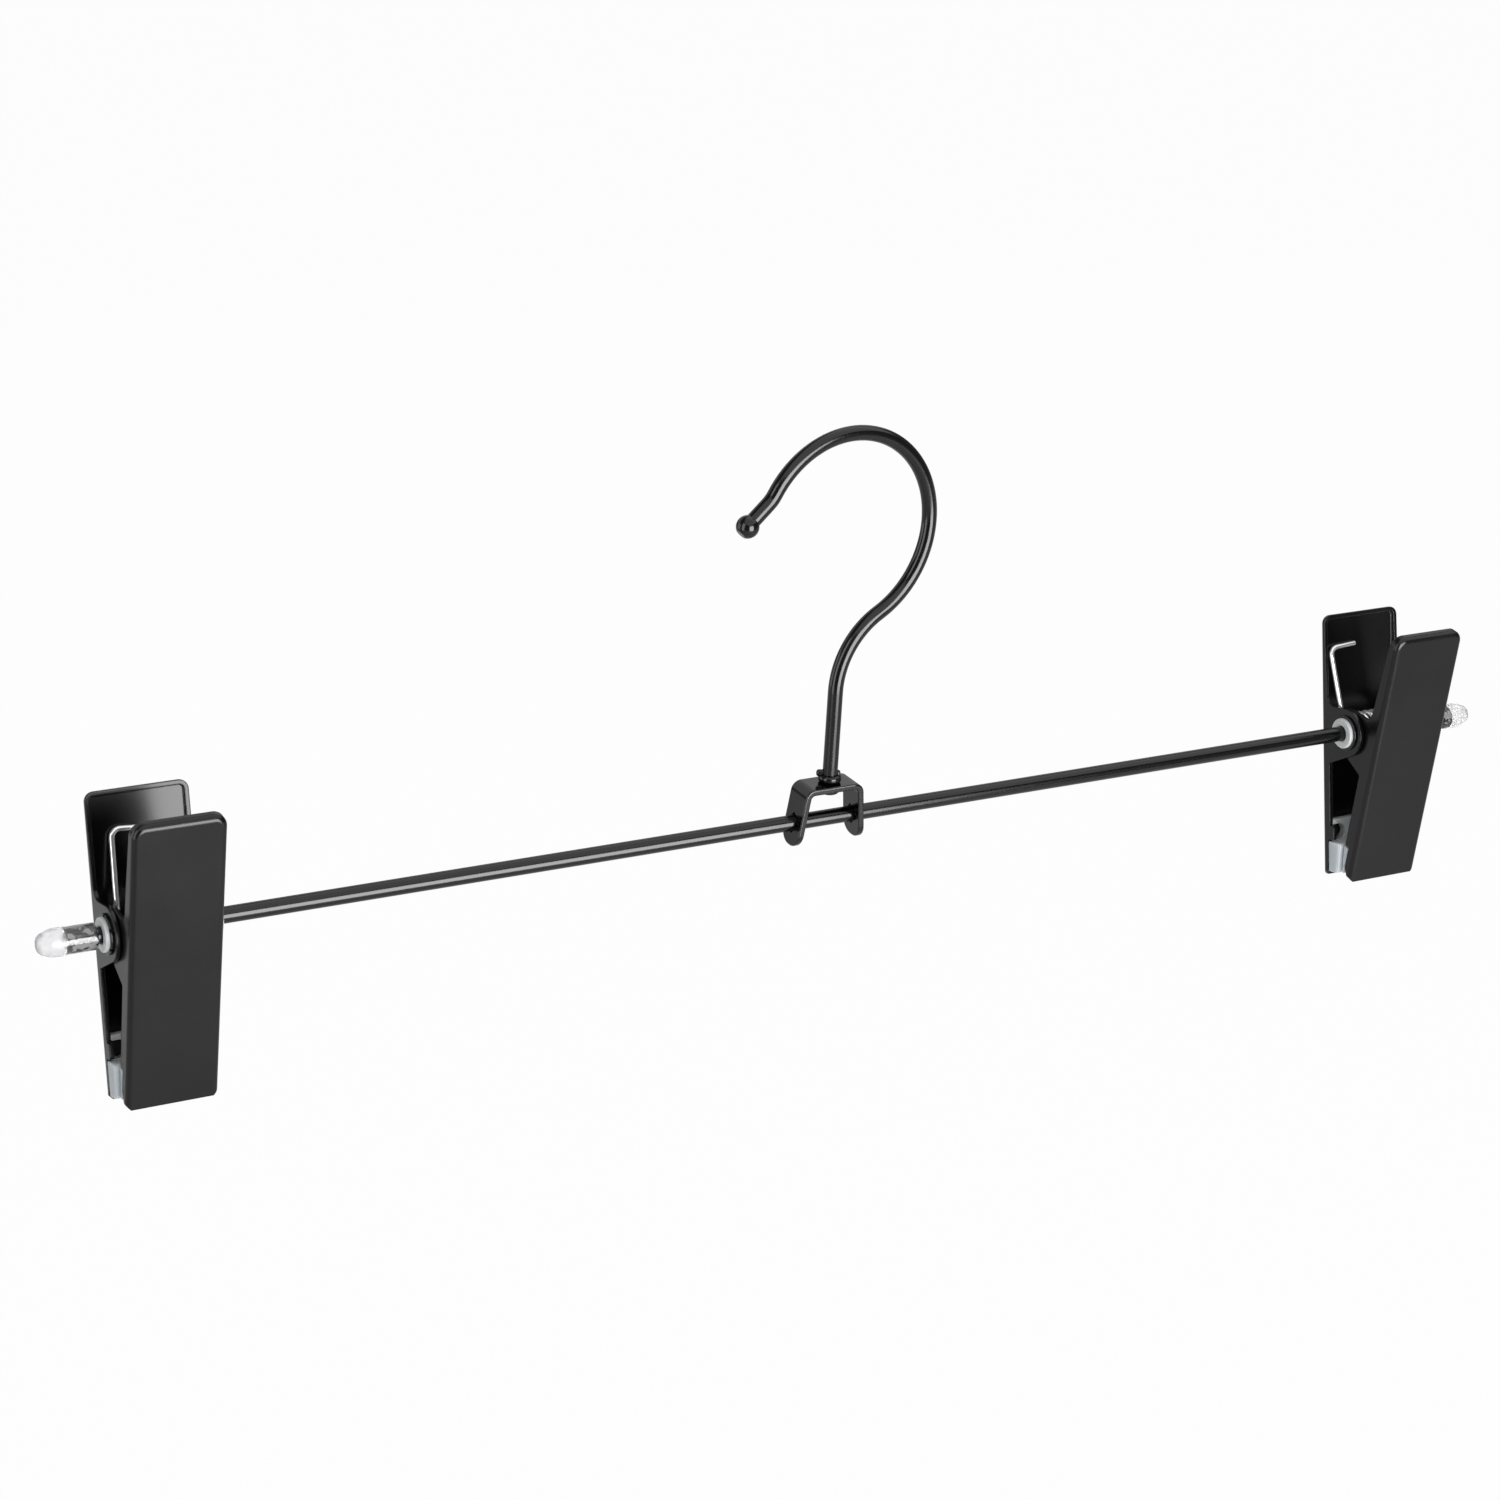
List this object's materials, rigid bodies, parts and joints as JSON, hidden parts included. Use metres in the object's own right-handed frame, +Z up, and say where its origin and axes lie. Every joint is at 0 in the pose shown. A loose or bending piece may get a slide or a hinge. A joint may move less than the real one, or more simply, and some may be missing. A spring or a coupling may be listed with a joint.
{
  "type": "skirt hanger",
  "caption": "Skirt hanger with a swivelling ball-tipped hook, a straight wire bar, and sprung pressed-steel clips that slide and swing on the bar and grip a waistband between soft pads.",
  "frame": {"origin": "the point on the inside of the hook's crook that rests on a rail", "axes": "+X along the bar, +Y towards the outer jaws at the back, +Z up along the hook's stem"},
  "size_m": [0.388, 0.0301, 0.1377],
  "materials": {
    "black_wire": "satin black coated wire",
    "black_bracket": "satin black coated strap",
    "black_jaw": "satin black coated pressed steel",
    "bright_spring": "bright plated spring wire",
    "milky_bush": "milky moulded plastic",
    "milky_pad": "milky soft plastic",
    "clear_cap": "clear soft plastic"
  },
  "bodies": {
    "hook": {"hook": "black_wire"},
    "frame": {"bracket": "black_bracket", "bar": "black_wire", "left_end_cap": "clear_cap", "right_end_cap": "clear_cap"},
    "left_clip_carriage": {"left_clip_pivot_tube": "black_bracket", "left_clip_left_bush": "milky_bush", "left_clip_right_bush": "milky_bush"},
    "left_clip_outer": {"left_clip_outer_jaw": "black_jaw", "left_clip_outer_pad": "milky_pad", "left_clip_spring": "bright_spring"},
    "left_clip_inner": {"left_clip_inner_jaw": "black_jaw", "left_clip_inner_pad": "milky_pad"},
    "right_clip_carriage": {"right_clip_pivot_tube": "black_bracket", "right_clip_left_bush": "milky_bush", "right_clip_right_bush": "milky_bush"},
    "right_clip_outer": {"right_clip_outer_jaw": "black_jaw", "right_clip_outer_pad": "milky_pad", "right_clip_spring": "bright_spring"},
    "right_clip_inner": {"right_clip_inner_jaw": "black_jaw", "right_clip_inner_pad": "milky_pad"}
  },
  "joints": [
    {"name": "hook_swivel", "type": "hinge", "parent": "hook", "child": "frame", "pos_m": [0, 0, -0.084], "axis": [0, 0, 1], "continuous": true},
    {"name": "left_clip_slide", "type": "slide", "parent": "frame", "child": "left_clip_carriage", "axis": [1, 0, 0], "range_m": [-0.001, 0.142]},
    {"name": "left_clip_swing", "type": "hinge", "parent": "left_clip_carriage", "child": "left_clip_outer", "pos_m": [-0.1665, 0, -0.0934], "axis": [1, 0, 0], "continuous": true},
    {"name": "left_clip_squeeze", "type": "hinge", "parent": "left_clip_outer", "child": "left_clip_inner", "pos_m": [-0.1665, 0, -0.0934], "axis": [-1, 0, 0], "range_deg": [0, 28], "stiffness_Nm_per_rad": 0.6, "springref_deg": -28.65, "deforming": ["left_clip_spring"]},
    {"name": "right_clip_slide", "type": "slide", "parent": "frame", "child": "right_clip_carriage", "axis": [1, 0, 0], "range_m": [-0.1435, 0.001]},
    {"name": "right_clip_swing", "type": "hinge", "parent": "right_clip_carriage", "child": "right_clip_outer", "pos_m": [0.1665, 0, -0.0934], "axis": [1, 0, 0], "continuous": true},
    {"name": "right_clip_squeeze", "type": "hinge", "parent": "right_clip_outer", "child": "right_clip_inner", "pos_m": [0.1665, 0, -0.0934], "axis": [-1, 0, 0], "range_deg": [0, 28], "stiffness_Nm_per_rad": 0.6, "springref_deg": -28.65, "deforming": ["right_clip_spring"]}
  ]
}
